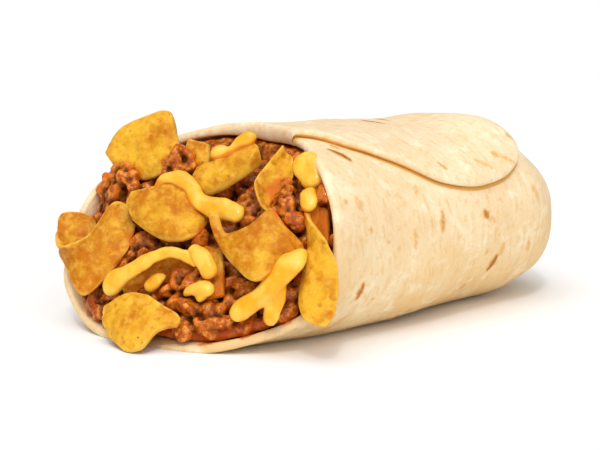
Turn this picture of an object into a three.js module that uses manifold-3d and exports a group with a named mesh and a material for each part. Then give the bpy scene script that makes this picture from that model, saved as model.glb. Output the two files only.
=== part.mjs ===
// A chili cheese wrap lying on its side: a flour tortilla rolled round ground beef chili,
// open at -X and closed at +X. Corn chips and strands of cheese sauce stick out of the open end.
// Millimetres and degrees, +Z up, -Y is the side that the loose edge of the tortilla points to.
// The origin is on the flat underside, below the middle of the roll.
import * as THREE from "three";
import { mergeVertices } from "three/addons/utils/BufferGeometryUtils.js";
import Module from "manifold-3d";

const wasm = await Module();
wasm.setup();

// ---------------------------------------------------------------- driving dimensions
const WIDTH = 75; // of the roll, across
const HEIGHT = 52; // of the roll, from the table to the top
const TAPER = 0.001; // share of the height lost for each mm towards the closed end
const PRESSED = 0.8; // how far the round underside is pressed flat on the table
const SQUARENESS = 2.5; // exponent of the section: 2 is an ellipse
const SHEET = 2.3; // thickness of the tortilla
const GAP = 0.3; // between pieces that touch

const END_X = 82; // the tip of the closed end
const DOME = 32; // length of the rounded closed end
const DOME_POWER = 2.3; // exponent of the rounding: 2 is an ellipse
const END_HEIGHT = 24; // height of the tip above the table
const END_WALL = 1.5 * SHEET; // the folded sheet at the tip

const RIM_X = -33; // the middle of the open rim, along the roll
const FLAP_FROM = 56; // the loose outer layer sinks into the closed end
const FLAP_TO = 66; // between these two places along the roll

const CHIP = 1.8; // thickness of a corn chip

const rad = THREE.MathUtils.degToRad;
const { lerp, smoothstep } = THREE.MathUtils;

// ---------------------------------------------------------------- solids
function solidOf(geometry) {
  const bare = geometry.clone();
  bare.deleteAttribute("normal");
  bare.deleteAttribute("uv");
  const merged = mergeVertices(bare, 1e-3);
  return new wasm.Manifold(
    new wasm.Mesh({
      numProp: 3,
      vertProperties: merged.attributes.position.array,
      triVerts: new Uint32Array(merged.index.array),
    }),
  );
}

function meshOf(solid, name, material) {
  const { vertProperties, triVerts } = solid.getMesh();
  const geometry = new THREE.BufferGeometry();
  geometry.setAttribute("position", new THREE.BufferAttribute(vertProperties, 3));
  geometry.setIndex(new THREE.BufferAttribute(triVerts, 1));
  geometry.computeVertexNormals();
  const mesh = new THREE.Mesh(geometry, material);
  mesh.name = name;
  return mesh;
}

// ---------------------------------------------------------------- the roll's own surface
// angle runs round the section: 0 is the -Y side, 90 the top, 180 the +Y side and 270 the underside.
function dent(x, angle) {
  const a = rad(angle);
  const hump = Math.max(0, Math.cos(a - rad(105))) ** 2;
  const heel = Math.max(0, Math.cos(a - rad(222))) ** 4;
  return 0.5 * Math.sin(2 * a + x / 17) + 0.4 * Math.sin(3 * a - x / 11 + 1)
    - 2.4 * hump * Math.exp(-(((x - 60) / 14) ** 2))
    + 2 * heel * (1 - smoothstep(x, -40, 0));
}

// A point of the surface that lies `inside` mm within the roll's outer face.
// shrink is 1 along the roll and falls to 0 at the tip of the closed end.
function sectionPoint(x, angle, inside, shrink) {
  const height = HEIGHT * (1 - TAPER * (x + 40));
  const halfWidth = (WIDTH / 2 - inside) * shrink;
  const halfHeight = (height / 2 - inside) * shrink;
  const middle = lerp(END_HEIGHT, height / 2 - PRESSED, shrink);
  const c = Math.cos(rad(angle));
  const s = Math.sin(rad(angle));
  const power = 2 / SQUARENESS;
  const y = -halfWidth * Math.sign(c) * Math.pow(Math.abs(c), power);
  const z = middle + halfHeight * Math.sign(s) * Math.pow(Math.abs(s), power);
  return new THREE.Vector3(x, y, z);
}

// The loose edge of the outer layer: its angle round the section at each x.
const SEAM = [
  [-30, 92],
  [-8, 80],
  [-1, 63],
  [10, 46],
  [20, 31],
  [30, 25],
  [38, 27],
  [47, 36],
  [57, 52],
  [66, 74],
];
function seamAngle(x) {
  const last = SEAM.length - 1;
  const next = SEAM.findIndex(([at]) => at > x);
  if (next === 0) return SEAM[0][1];
  if (next < 0) return SEAM[last][1];
  const [x0, a0] = SEAM[next - 1];
  const [x1, a1] = SEAM[next];
  return THREE.MathUtils.mapLinear(x, x0, x1, a0, a1);
}

// The rim is cut at a slant: it reaches furthest along -X at the underside and on the +Y side.
function rimX(angle) {
  const a = rad(angle);
  const slant = 9.5 * Math.cos(a) + 18.8 * Math.sin(a);
  const sag = -2.4 * Math.cos(2 * a) - 3.8 * Math.sin(2 * a);
  const corner = 1.6 * Math.cos(3 * a) - 2.6 * Math.sin(3 * a);
  return RIM_X + slant + sag + corner;
}

// The slanted plane across the open rim. Everything in the opening is placed in millimetres on it:
// right and up as seen from outside, then out of the plane.
const faceUp = new THREE.Vector3(0.549, 0.139, 0.824);
const faceOut = new THREE.Vector3(-0.799, -0.202, 0.566).normalize();
const faceRight = faceUp.clone().cross(faceOut).normalize();
const faceFrame = new THREE.Matrix4()
  .makeBasis(faceRight, faceOut.clone().cross(faceRight), faceOut)
  .setPosition(RIM_X, 0, 26);
const face = ([right, up, out]) => new THREE.Vector3(right, up, out).applyMatrix4(faceFrame);

// turn runs from 0, just below the loose edge, round the underside and over the top to 1 at the loose edge.
// along runs from 0 at the tip of the closed end, past DOME_SHARE where its rounding ends, to 1 at the rim.
// beyond carries the rim further out.
const DOME_SHARE = 0.45;
function rollPoint(turn, along, inside, tip, beyond = 0) {
  const domeX = END_X - DOME;
  // Only the columns near the loose edge follow it; those on the far side run straight along the roll.
  const angleAt = (at) => 60 - 360 * turn + (seamAngle(at) - 60) * Math.cos(Math.PI * turn) ** 2;
  let x;
  let angle = angleAt(domeX);
  let shrink = 1;
  if (along < DOME_SHARE) {
    const reach = Math.cos((along / DOME_SHARE) * (Math.PI / 2));
    x = domeX + (tip - domeX) * reach;
    angle = angleAt(x);
    shrink = Math.pow(1 - Math.pow(reach, DOME_POWER), 1 / DOME_POWER);
  } else {
    const share = (along - DOME_SHARE) / (1 - DOME_SHARE);
    for (let k = 0; k < 8; k += 1) {
      x = lerp(domeX, rimX(angle) - beyond, share);
      angle = angleAt(x);
    }
  }
  // The outer layer winds outwards by one sheet in a turn, and near the loose edge there is a layer under it.
  const layer = SHEET * (1 - smoothstep(x, FLAP_FROM, FLAP_TO));
  const flap = layer * smoothstep(turn, 0, 0.8);
  const under = inside > 0 ? layer * smoothstep(turn, 0.88, 0.98) : 0;
  const point = sectionPoint(x, angle, inside + under - flap + dent(x, angle), shrink);
  point.z = Math.max(point.z, inside); // flat where it lies on the table
  return point;
}

// The last column before the loose edge: so near to it that the step between the two layers is steep.
const EDGE_TURN = 0.9985;

// A lathe whose columns and rows are laid on the surface that place(turn, row) gives.
function wrapLathe(columns, rows, place) {
  const profile = Array.from({ length: rows }, (_, row) => new THREE.Vector2(1, row));
  const lathe = new THREE.LatheGeometry(profile, columns);
  const position = lathe.attributes.position;
  for (let column = 0; column <= columns; column += 1) {
    const turn = column === columns ? 0 : (column / (columns - 1)) * EDGE_TURN;
    for (let row = 0; row < rows; row += 1) {
      const point = place(turn, row);
      position.setXYZ(column * rows + row, point.x, point.y, point.z);
    }
  }
  return solidOf(lathe);
}

function tortillaSolid(grow) {
  const columns = 56;
  const steps = 13;
  const beyond = 1.5 * grow;
  return wrapLathe(columns, 2 * steps + 2, (turn, row) => {
    if (row <= steps) return rollPoint(turn, row / steps, SHEET + grow, END_X - END_WALL - grow, beyond);
    return rollPoint(turn, (2 * steps + 1 - row) / steps, -grow, END_X + grow, beyond);
  });
}

// ---------------------------------------------------------------- corn chips
// Each chip is a curved sheet through a row of ribs; a rib is its upper and its lower end.
// bow bends the sheet outwards between the two ends of each rib.
const CHIPS = {
  chip_above_rim: {
    bow: 1.5,
    ribs: [
      [[-38, 20, 4], [-32, 16, 3]],
      [[-36, 25, 6], [-25, 12, 3]],
      [[-28, 28, 7], [-20, 14, 3]],
      [[-21, 31, 7], [-15, 22, 4]],
    ],
  },
  chip_behind: {
    bow: 0.5,
    ribs: [
      [[-17, 27, 0], [-13, 17, 0]],
      [[-7, 25, 1], [-6, 17, 1]],
    ],
  },
  chip_upper: {
    bow: 2.5,
    ribs: [
      [[-9, 17, 3], [-2, 9, 3]],
      [[0, 21, 4], [2, 12, 3]],
      [[5, 24, 4], [7, 16, 3]],
      [[7, 26, 3], [11, 21, 2]],
    ],
  },
  chip_leaf: {
    bow: 2,
    ribs: [
      [[14, 28, 1], [17, 25, 0]],
      [[13, 20, 4], [20, 19, 1]],
      [[12, 14, 5], [20, 14, 2]],
      [[15, 9, 5], [19, 10, 3]],
      [[17, 7, 4], [19, 8, 4]],
    ],
  },
  chip_middle: {
    bow: 1,
    ribs: [
      [[-25, 8, 5], [-21, 0, 5]],
      [[-18, 9, 7], [-12, -4, 6]],
      [[-12, 11, 7], [-4, -5, 6]],
      [[-7, 12, 5], [0, -2, 4]],
      [[-5, 8, 2], [0, 2, 2]],
    ],
  },
  chip_left: {
    bow: 1,
    ribs: [
      [[-24, 5, 2], [-20, -5, 2]],
      [[-28, 5, 6], [-22, -15, 4]],
      [[-30, -7, 9], [-28, -22, 4]],
      [[-37, -11, 9], [-35, -16, 5]],
      [[-42, -7, 6], [-41, -11, 4]],
      [[-45, 1, 5], [-40, -9, 5]],
      [[-38, 1, 5], [-33, -6, 5]],
    ],
  },
  chip_right: {
    bow: 1.5,
    ribs: [
      [[6, 4, 8], [4, 3, 7]],
      [[10, -1, 6], [8, -4, 5]],
      [[17, 2, 7], [16, -10, 6]],
      [[20, 7, 6], [23, -13, 6]],
      [[25, 3, 4], [27, -7, 4]],
      [[30, 0, 1], [29, -3, 1]],
    ],
  },
  chip_curled: {
    bow: 1,
    ribs: [
      [[41, -4, 1], [44, -16, 0]],
      [[37, 1, 4], [42, -20, 0]],
      [[31, 6, 4], [35, -18, 0]],
      [[28, 11, 2], [31, -4, -1]],
      [[29, 14, -1], [32, 0, -4]],
      [[32, 13, -2], [35, 0, -4]],
    ],
  },
  chip_below_rim: {
    bow: 0.5,
    ribs: [
      [[-21, -25, 4], [-16, -32, 5]],
      [[-13, -21, 6], [-6, -35, 7]],
      [[-8, -20, 6], [-3, -33, 7]],
      [[-1, -22, 5], [1, -28, 6]],
      [[4, -23, 4], [5, -26, 5]],
    ],
  },
  chip_hollow: {
    bow: -1.5,
    ribs: [
      [[-22, -14, 2], [-18, -21, 0]],
      [[-15, -10, 4], [-14, -18, -2]],
      [[-6, -6, 5], [-6, -15, -4]],
      [[2, -7, 4], [3, -13, -2]],
    ],
  },
  chip_under_strand: {
    bow: 0.5,
    ribs: [
      [[1, -3, 1], [6, -18, 1]],
      [[7, -4, 1], [12, -16, 1]],
    ],
  },
};

// A point of a curve, carried on straight beyond its ends.
function pointBeyond(curve, u) {
  const inner = THREE.MathUtils.clamp(u, 0, 1);
  const point = curve.getPoint(inner);
  if (u === inner) return point;
  const step = curve.getPoint(inner).sub(curve.getPoint(inner + (u < 0 ? 0.05 : -0.05)));
  return point.addScaledVector(step, Math.abs(u - inner) / 0.05);
}

function chipSolid({ ribs, bow }, grow) {
  const upper = new THREE.CatmullRomCurve3(ribs.map(([top]) => face(top)));
  const lower = new THREE.CatmullRomCurve3(ribs.map(([, bottom]) => face(bottom)));
  const middle = (u, v) => pointBeyond(upper, u).lerp(pointBeyond(lower, u), v);
  const normal = (u) => {
    const across = middle(u, 1).sub(middle(u, 0));
    const along = middle(u + 0.02, 0.5).sub(middle(u - 0.02, 0.5));
    return across.cross(along).normalize();
  };
  const length = (upper.getLength() + lower.getLength()) / 2;
  const height = (i) => face(ribs[i][0]).distanceTo(face(ribs[i][1]));
  const tallest = Math.max(...ribs.map((_, i) => height(i)));
  const sheet = new THREE.BoxGeometry(2, 2, 2, 2 * ribs.length, 4, 1);
  const position = sheet.attributes.position;
  const p = new THREE.Vector3();
  for (let i = 0; i < position.count; i += 1) {
    p.fromBufferAttribute(position, i);
    // the corners of the sheet are rounded off
    const a = p.x * Math.sqrt(1 - 0.2 * p.y ** 2);
    const b = p.y * Math.sqrt(1 - 0.2 * p.x ** 2);
    const u = (1 + a * (1 + (2 * grow) / length)) / 2;
    const v = (1 - b * (1 + (3 * grow) / tallest)) / 2;
    const out = bow * (1 - b * b) + 0.3 * Math.sin(5 * a + 2 * b) * Math.cos(3 * b);
    const point = middle(u, v).addScaledVector(normal(u), out + p.z * (CHIP / 2 + grow));
    position.setXYZ(i, point.x, point.y, point.z);
  }
  return solidOf(sheet);
}

// ---------------------------------------------------------------- chili
// The filling runs through the whole roll.
// Lumps of ground beef stand on its open face: right, up, out, radius.
const LUMPS = [
  // top left
  [-35, 9, 1, 3], [-32, 12, 1, 3], [-28, 13, 1, 3], [-31, 8, 0, 2.5], [-24, 14, -1, 2.5],
  [-21, 24, -4, 3], [-18, 20, -3, 3], [-22, 18, -2, 2.5],
  // under the top of the rim
  [-3, 15, -4, 3], [1, 17, -5, 3], [4, 15, -5, 2.5], [10, 11, -2, 2.5], [-1, 28, -8, 3],
  [1, 34, -12, 3], [8, 36, -12, 3], [4, 30, -9, 3], [9, 31, -9, 3], [14, 32, -9, 2.5],
  // right
  [19, 14, 2, 2.5], [23, 9, 4, 2.5], [22, 5, 2, 2.5], [26, 6, 2, 3], [28, 1, -1, 2.5], [7, 6, -2, 2.5],
  // middle
  [-18, -4, 0, 3], [-17, -8, 0, 2.5], [-22, -6, -2, 2.5], [-1, -1, 0, 3], [-5, 2, -1, 2.5], [3, -3, -2, 2.5],
  [10, -12, -2, 3], [15, -12, -3, 3], [12, -16, -1, 2.5],
  // bottom
  [-6, -16, 0, 2.5], [-2, -19, 1, 2.5], [3, -20, 1, 3], [8, -20, 0, 3], [7, -24, 1, 2.5], [12, -23, 0, 3],
  [3, -26, 1, 3], [-3, -25, 0, 3], [18, -22, -3, 3], [0, -29, -1, 2], [9, -28, -1, 2.5],
  [27, -11, -4, 3], [27, -16, -5, 3],
  // bottom left
  [-30, -20, -2, 3], [-33, -16, -2, 2], [-26, -20, -2, 2.5], [-27, -24, -2, 2.5],
];

function lumpSolid([right, up, out, radius], grow) {
  const ball = new THREE.DodecahedronGeometry(1, 0);
  const position = ball.attributes.position;
  const centre = face([right, up, out]);
  const p = new THREE.Vector3();
  for (let i = 0; i < position.count; i += 1) {
    p.fromBufferAttribute(position, i).normalize();
    const waves = Math.sin(4 * p.x + right) * Math.sin(4 * p.y + up) * Math.cos(4 * p.z + right - up);
    p.multiplyScalar(radius * (1.08 + 0.24 * waves) + 1.2 * grow).add(centre);
    position.setXYZ(i, p.x, p.y, p.z);
  }
  return solidOf(ball);
}

// The core: rings on the open face at these shares of the way out from its middle, then the roll's wall.
function coreSolid(grow) {
  const columns = 36;
  const steps = 10;
  const shares = [0, 0.35, 0.65, 0.88];
  const middle = face([0, 0, -4]);
  const wall = (turn, along) => {
    const inset = SHEET + lerp(1.5, 0.8, along);
    return rollPoint(turn, 0.975 * along, inset, END_X - END_WALL - 1);
  };
  return wrapLathe(columns, shares.length + steps + 1, (turn, row) => {
    if (row >= shares.length) return wall(turn, (shares.length + steps - row) / steps);
    const share = shares[row];
    const relief = 1 - share ** 3 + 2 * Math.sin(14 * turn * Math.PI) * share * (1 - share);
    return middle.clone().lerp(wall(turn, 1), share).addScaledVector(faceOut, relief + grow);
  });
}

function chiliSolid(grow, sheet, chips) {
  const lumps = wasm.Manifold.union(LUMPS.map((lump) => lumpSolid(lump, grow)));
  const heap = coreSolid(grow).add(lumps.subtract(sheet));
  return largest(wasm.Manifold.difference([heap, ...chips]));
}

function largest(solid) {
  const pieces = solid.decompose();
  return pieces.sort((one, other) => other.volume() - one.volume())[0];
}

// ---------------------------------------------------------------- cheese sauce
// Each strand is a tube through its points: right, up, out, radius.
const CHEESE = {
  cheese_wave: [[
    [-16, 7.5, 7.5, 1], [-13.5, 11, 8, 2], [-9.5, 12, 8, 2], [-5.5, 10.5, 7, 2],
    [-2, 7, 6, 2], [2.5, 6, 5, 2], [8, 5.5, 5, 2.5], [12, 4.5, 5, 2.5],
  ]],
  cheese_arch: [[
    [-21, -21, 5, 2], [-18.5, -18, 6, 3], [-15.5, -16, 7, 2.5], [-11.5, -13, 7.5, 2],
    [-7.5, -10, 7.5, 1.5], [-3.5, -8.5, 7.5, 1.5], [1.5, -9, 7, 1.5], [4.5, -11, 6, 1],
  ]],
  cheese_short: [[[1, -6.5, 7, 1.5], [4.5, -8, 7, 2], [7, -10, 6, 2.5], [8.5, -12, 5, 2]]],
  cheese_drop: [[[-9.5, -18.5, 4, 1.5], [-8.5, -16.5, 4, 2], [-7, -14.5, 4, 1.5], [-6, -13, 3, 1]]],
  cheese_dab: [[[1, -17.5, 3, 1], [4, -16.5, 4, 1.5], [7.5, -16.5, 4.5, 2]]],
  cheese_fork: [
    [
      [31, -2, 3, 1.5], [31, -5, 5, 2.5], [29, -9, 5.5, 3], [26.5, -12.5, 4.5, 3],
      [23, -16, 3, 2.5], [19.5, -19, 2.5, 2.5], [16.5, -21.5, 2, 2],
    ],
    [[28.5, -12, 4, 2], [28, -15.5, 2, 2], [27, -19, 1, 2], [27, -21.5, 0, 1.5]],
  ],
  cheese_top: [[[-3, 21.5, 4.5, 1.5], [0.5, 22, 5, 2], [3.5, 23.5, 5.5, 2], [5.5, 25.5, 5, 2]]],
  cheese_corner: [
    [[18, 26, 1, 2.5], [21, 23, 2, 4], [23, 20, 2, 4], [26, 17, 1, 3]],
    [[26, 18, 2, 2.5], [25.5, 14, 3.5, 2.5], [25, 10, 4, 2.5]],
  ],
};

function strandSolid(stations, grow) {
  const around = 8;
  const rows = Math.round(1.6 * stations.length) + 4;
  const curve = new THREE.CatmullRomCurve3(stations.map((station) => face(station)));
  const radii = new THREE.CatmullRomCurve3(stations.map(([, , , r]) => new THREE.Vector3(r, 0, 0)));
  const profile = Array.from({ length: rows }, (_, row) => new THREE.Vector2(1, row));
  const lathe = new THREE.LatheGeometry(profile, around);
  const position = lathe.attributes.position;
  for (let i = 0; i < position.count; i += 1) {
    const row = i % rows;
    const t = (1 - Math.cos((row / (rows - 1)) * Math.PI)) / 2;
    const along = curve.getTangent(t);
    const side = along.clone().cross(faceOut).normalize();
    const over = side.clone().cross(along);
    const angle = -(Math.floor(i / rows) / around) * 2 * Math.PI;
    const roundEnd = Math.sqrt(Math.max(0, 1 - Math.abs(2 * t - 1) ** (2 * stations.length)));
    const radius = (radii.getPoint(t).x + grow) * roundEnd;
    const stretch = (t - 0.5) * 2 * grow;
    const point = curve.getPoint(t).addScaledVector(along, stretch)
      .addScaledVector(side, radius * Math.cos(angle))
      .addScaledVector(over, radius * Math.sin(angle));
    position.setXYZ(i, point.x, point.y, point.z);
  }
  return solidOf(lathe);
}

function strandsSolid(strands, grow) {
  return wasm.Manifold.union(strands.map((strand) => strandSolid(strand, grow)));
}

// ---------------------------------------------------------------- assembly
const tortillaLook = new THREE.MeshStandardMaterial({ color: 0xf3dcb4, roughness: 0.75 });
const chipLook = new THREE.MeshStandardMaterial({ color: 0xeda62e, roughness: 0.6 });
const chiliLook = new THREE.MeshStandardMaterial({ color: 0x8f3f1c, roughness: 0.4 });
const cheeseLook = new THREE.MeshStandardMaterial({ color: 0xfac83f, roughness: 0.3 });

const wrap = new THREE.Group();
wrap.add(meshOf(tortillaSolid(0), "tortilla", tortillaLook));

const sheet = tortillaSolid(GAP);
const clear = []; // the chips with the gap round them
for (const [name, chip] of Object.entries(CHIPS)) {
  const solid = wasm.Manifold.difference([chipSolid(chip, 0), sheet, ...clear]);
  wrap.add(meshOf(largest(solid), name, chipLook));
  clear.push(chipSolid(chip, GAP).add(chipSolid(chip, 0)));
}
wrap.add(meshOf(chiliSolid(0, sheet, clear), "chili", chiliLook));

const bare = Object.values(CHIPS).map((chip) => chipSolid(chip, 0));
const below = [sheet, ...clear, chiliSolid(GAP, sheet, bare)];
for (const [name, strands] of Object.entries(CHEESE)) {
  const solid = wasm.Manifold.difference([strandsSolid(strands, 0), ...below]);
  wrap.add(meshOf(largest(solid), name, cheeseLook));
  below.push(strandsSolid(strands, GAP));
}

export default wrap;
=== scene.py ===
"""The looks of a chili cheese wrap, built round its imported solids.

Shapes are worked out in millimetres, in the frame of the solids: +Z up, the open end at -X, the loose
edge of the tortilla on the -Y side. mesh_of turns them into meshes, in metres.
"""

import math
from functools import partial

import bmesh
import bpy
import numpy as np
from mathutils import Matrix, Vector
from mathutils.bvhtree import BVHTree
from mathutils.noise import noise as perlin


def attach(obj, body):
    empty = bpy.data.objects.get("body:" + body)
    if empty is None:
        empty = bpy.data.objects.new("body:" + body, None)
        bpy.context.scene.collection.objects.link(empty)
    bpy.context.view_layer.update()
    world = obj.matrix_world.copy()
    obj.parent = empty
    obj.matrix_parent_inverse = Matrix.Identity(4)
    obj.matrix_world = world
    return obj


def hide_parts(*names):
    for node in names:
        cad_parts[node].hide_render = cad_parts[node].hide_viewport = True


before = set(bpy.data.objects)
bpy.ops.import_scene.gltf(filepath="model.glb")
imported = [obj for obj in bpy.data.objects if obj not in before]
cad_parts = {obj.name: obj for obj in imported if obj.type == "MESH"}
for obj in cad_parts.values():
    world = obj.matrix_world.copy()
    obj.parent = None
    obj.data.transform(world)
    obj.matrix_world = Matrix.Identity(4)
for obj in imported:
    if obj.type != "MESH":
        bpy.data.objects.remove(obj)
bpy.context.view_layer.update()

MM = 0.001

# ------------------------ driving dimensions, in mm
WIDTH = 75  # of the roll, across
HEIGHT = 52  # of the roll, from the table to the top
FULL_X = -40  # where the roll has its full height
TAPER = 0.001  # share of the height lost for each mm from there to the closed end
PRESSED = 0.8  # how far the underside is pressed flat on the table
SQUARENESS = 2.5  # exponent of the section: 2 is an ellipse
SHEET = 2.3  # thickness of the tortilla

END_X = 82  # the tip of the closed end
DOME = 32  # length of the rounded closed end
DOME_X = END_X - DOME
DOME_POWER = 2.3  # exponent of the rounding: 2 is an ellipse
DOME_SHARE = 0.45  # share of the rows that lies on the rounding
END_HEIGHT = 24  # height of the tip above the table
END_WALL = 1.5 * SHEET  # the folded sheet at the tip

RIM_X = -33  # the middle of the open rim, along the roll
FLAP_END = 56.6  # where the loose outer layer ends, along the roll
FLAP_LIFT = 3.2  # how far the loose layer stands up near its end
CHIP = 1.8  # thickness of a corn chip
CORNERS = 0.16  # how much a chip's corners are rounded off: 0 is square, 0.5 is round


# ------------------------ numbers
def smoothstep(value, low, high):
    share = np.clip((value - low) / (high - low), 0, 1)
    return share * share * (3 - 2 * share)


def mix(one, other, share):
    return one + (other - one) * share


def falloff(distance, reach):
    """1 at no distance, 0.37 at the reach, and almost 0 at twice that."""
    return np.exp(-((distance / reach) ** 2))


def noise(points, size, seed):
    """Smooth noise, about -1 to 1, with bumps about size mm apart."""
    return np.array([perlin(place) for place in (points / size + 31.7 * seed).tolist()])


def norm(vectors):
    return np.linalg.norm(vectors, axis=-1)


def unit(vectors):
    return vectors / np.maximum(norm(vectors), 1e-9)[..., None]


def curve_points(stations, shares):
    """Points of a centripetal Catmull-Rom curve through the stations."""
    stations = np.asarray(stations, float)
    first = 2 * stations[0] - stations[1]
    last = 2 * stations[-1] - stations[-2]
    knots = np.vstack([first, stations, last])
    place = np.clip(shares, 0, 1) * (len(stations) - 1)
    span = np.minimum(place.astype(int), len(stations) - 2)
    t = (place - span)[:, None]
    p0, p1, p2, p3 = (knots[span + k] for k in range(4))

    def gap(a, b):
        return np.maximum(norm(a - b), 1e-4)[:, None] ** 0.5

    d0, d1, d2 = gap(p0, p1), gap(p1, p2), gap(p2, p3)
    m1 = d1 * ((p1 - p0) / d0 - (p2 - p0) / (d0 + d1) + (p2 - p1) / d1)
    m2 = d1 * ((p2 - p1) / d1 - (p3 - p1) / (d1 + d2) + (p3 - p2) / d2)
    cubic = 2 * p1 - 2 * p2 + m1 + m2
    square = 3 * p2 - 3 * p1 - 2 * m1 - m2
    return p1 + m1 * t + square * t**2 + cubic * t**3


# ------------------------ pieces
def mesh_of(name, points, faces):
    """A smooth-shaded mesh from points in mm."""
    mesh = bpy.data.meshes.new(name)
    mesh.from_pydata((np.asarray(points) * MM).tolist(), [], faces)
    mesh.polygons.foreach_set("use_smooth", [True] * len(mesh.polygons))
    mesh.update()
    return mesh


def new_object(name, data):
    made = bpy.data.objects.new(name, data)
    bpy.context.scene.collection.objects.link(made)
    return made


def make_piece(name, node, mesh, material):
    """Puts a mesh in the scene as the piece that stands for a node."""
    piece = new_object(name, mesh)
    mesh.materials.append(material)
    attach(piece, "root")
    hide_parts(node)


def set_fields(mesh, fields):
    """Keeps numbers for each vertex, by name, for a material to read."""
    for name, values in fields.items():
        attribute = mesh.attributes.new(name, "FLOAT", "POINT")
        attribute.data.foreach_set("value", np.asarray(values, np.float32))


def points_of(mesh):
    flat = np.empty(3 * len(mesh.vertices))
    mesh.vertices.foreach_get("co", flat)
    return flat.reshape(-1, 3) / MM


def faces_of(mesh):
    return [tuple(polygon.vertices) for polygon in mesh.polygons]


def put_points(mesh, points):
    mesh.vertices.foreach_set("co", (points * MM).ravel())
    mesh.update()


def normals_of(mesh):
    flat = np.empty(3 * len(mesh.vertices))
    mesh.vertices.foreach_get("normal", flat)
    return flat.reshape(-1, 3)


def smoothed(mesh, points, rounds):
    """The mesh's points, each averaged with its neighbours, so many times over."""
    edges = np.empty(2 * len(mesh.edges), int)
    mesh.edges.foreach_get("vertices", edges)
    one, other = edges[0::2], edges[1::2]
    count = len(mesh.vertices)
    degree = np.bincount(one, minlength=count) + np.bincount(other, minlength=count)
    columns = points.T
    for _ in range(rounds):
        total = [
            np.bincount(one, column[other], count) + np.bincount(other, column[one], count)
            for column in columns
        ]
        columns = 0.5 * columns + 0.5 * np.array(total) / degree
    return columns.T


def grid_faces(columns, rows, closed):
    """Quads of a grid whose points are numbered column by column."""
    last = columns if closed else columns - 1
    faces = []
    for column in range(last):
        here = column * rows
        there = (column + 1) % columns * rows
        faces += [(here + r, here + r + 1, there + r + 1, there + r) for r in range(rows - 1)]
    return faces


def closed_lathe(grid):
    """A closed shell from a ring of columns, with a point to close it at either end."""
    columns, rows = grid.shape[:2]
    faces = grid_faces(columns, rows, closed=True)
    first_pole = columns * rows
    for column in range(columns):
        here, there = column * rows, (column + 1) % columns * rows
        faces.append((here, there, first_pole))
        faces.append((here + rows - 1, first_pole + 1, there + rows - 1))
    ends = [grid[:, 0].mean(axis=0), grid[:, -1].mean(axis=0)]
    return np.vstack([grid.reshape(-1, 3), ends]), faces


def remeshed(shells, voxel):
    """A voxel remesh of overlapping closed shells into one skin."""
    holder = new_object("holder", mesh_of("shells", *join_shells(shells)))
    change = holder.modifiers.new("Remesh", "REMESH")
    change.mode = "VOXEL"
    change.voxel_size = voxel * MM
    change.use_smooth_shade = True
    bpy.context.view_layer.update()
    graph = bpy.context.evaluated_depsgraph_get()
    result = bpy.data.meshes.new_from_object(holder.evaluated_get(graph))
    bpy.data.objects.remove(holder)
    return result


def join_shells(shells):
    """One list of points and one of faces from several."""
    points, faces, start = [], [], 0
    for shell_points, shell_faces in shells:
        points.append(shell_points)
        faces += [tuple(start + index for index in face) for face in shell_faces]
        start += len(shell_points)
    return np.vstack(points), faces


def cad_tree(prefix):
    """A search tree, in mm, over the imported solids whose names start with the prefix."""
    solids = [solid.data for node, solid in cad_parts.items() if node.startswith(prefix)]
    points, faces = join_shells([(points_of(solid), faces_of(solid)) for solid in solids])
    return BVHTree.FromPolygons(points.tolist(), faces)


def distances(points, tree):
    """How far each point is from the tree's surface."""
    return np.array([tree.find_nearest(point)[3] for point in points.tolist()])


CAD_CHILI = cad_tree("chili")
CAD_CHIPS = cad_tree("chip_")
CAD_CHEESE = cad_tree("cheese_")
CAD_TORTILLA = cad_tree("tortilla")


# ------------------------ the roll's own surface
def angle_between(one, other):
    """The turn from the other angle to the one, from -180 to 180 degrees."""
    return (one - other + 180) % 360 - 180


def dent(x, angle):
    """How far the outer face lies inside the plain section, in mm."""
    a = np.radians(angle)
    waves = 0.5 * np.sin(2 * a + x / 17) + 0.4 * np.sin(3 * a - x / 11 + 1)
    top = np.maximum(0, np.cos(a - np.radians(105))) ** 2
    swelling = top * (2.4 * falloff(x - 60, 14) + 1.3 * falloff(x + 14, 15))
    raised = FLAP_LIFT * falloff(x - 50, 8) * falloff(angle_between(angle, 67), 22)
    sunk = 1.2 * falloff(x - 66, 6) * falloff(angle_between(angle, 45), 26)
    heel = np.maximum(0, np.cos(a - np.radians(222))) ** 4
    flattened = 0.7 * heel * (1 - smoothstep(x, -40, 0))
    return waves - swelling - raised + sunk + flattened


def section_point(x, angle, inside, shrink):
    """A point inside mm within the roll's outer face; shrink falls from 1 to 0 at the closed tip."""
    height = HEIGHT * (1 - TAPER * (x - FULL_X))
    half_width = (WIDTH / 2 - inside) * shrink
    half_height = (height / 2 - inside) * shrink
    middle = mix(END_HEIGHT, height / 2 - PRESSED, shrink)
    c = np.cos(np.radians(angle))
    s = np.sin(np.radians(angle))
    power = 2 / SQUARENESS
    y = -half_width * np.sign(c) * np.abs(c) ** power
    z = middle + half_height * np.sign(s) * np.abs(s) ** power
    return np.stack(np.broadcast_arrays(x, y, z), axis=-1)


# The loose edge of the outer layer: its angle round the section at each x.
SEAM = [
    (-30, 92), (-8, 80), (-1, 63), (10, 46), (20, 31), (30, 25), (38, 26), (44, 29), (48, 33),
    (51.5, 38), (54, 45), (56, 55), (57.5, 66), (60, 74),
]
SEAM_CURVE = curve_points(SEAM, np.linspace(0, 1, 600))


def seam_angle(x):
    """The angle of the loose edge at x."""
    return np.interp(x, SEAM_CURVE[:, 0], SEAM_CURVE[:, 1])


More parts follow.
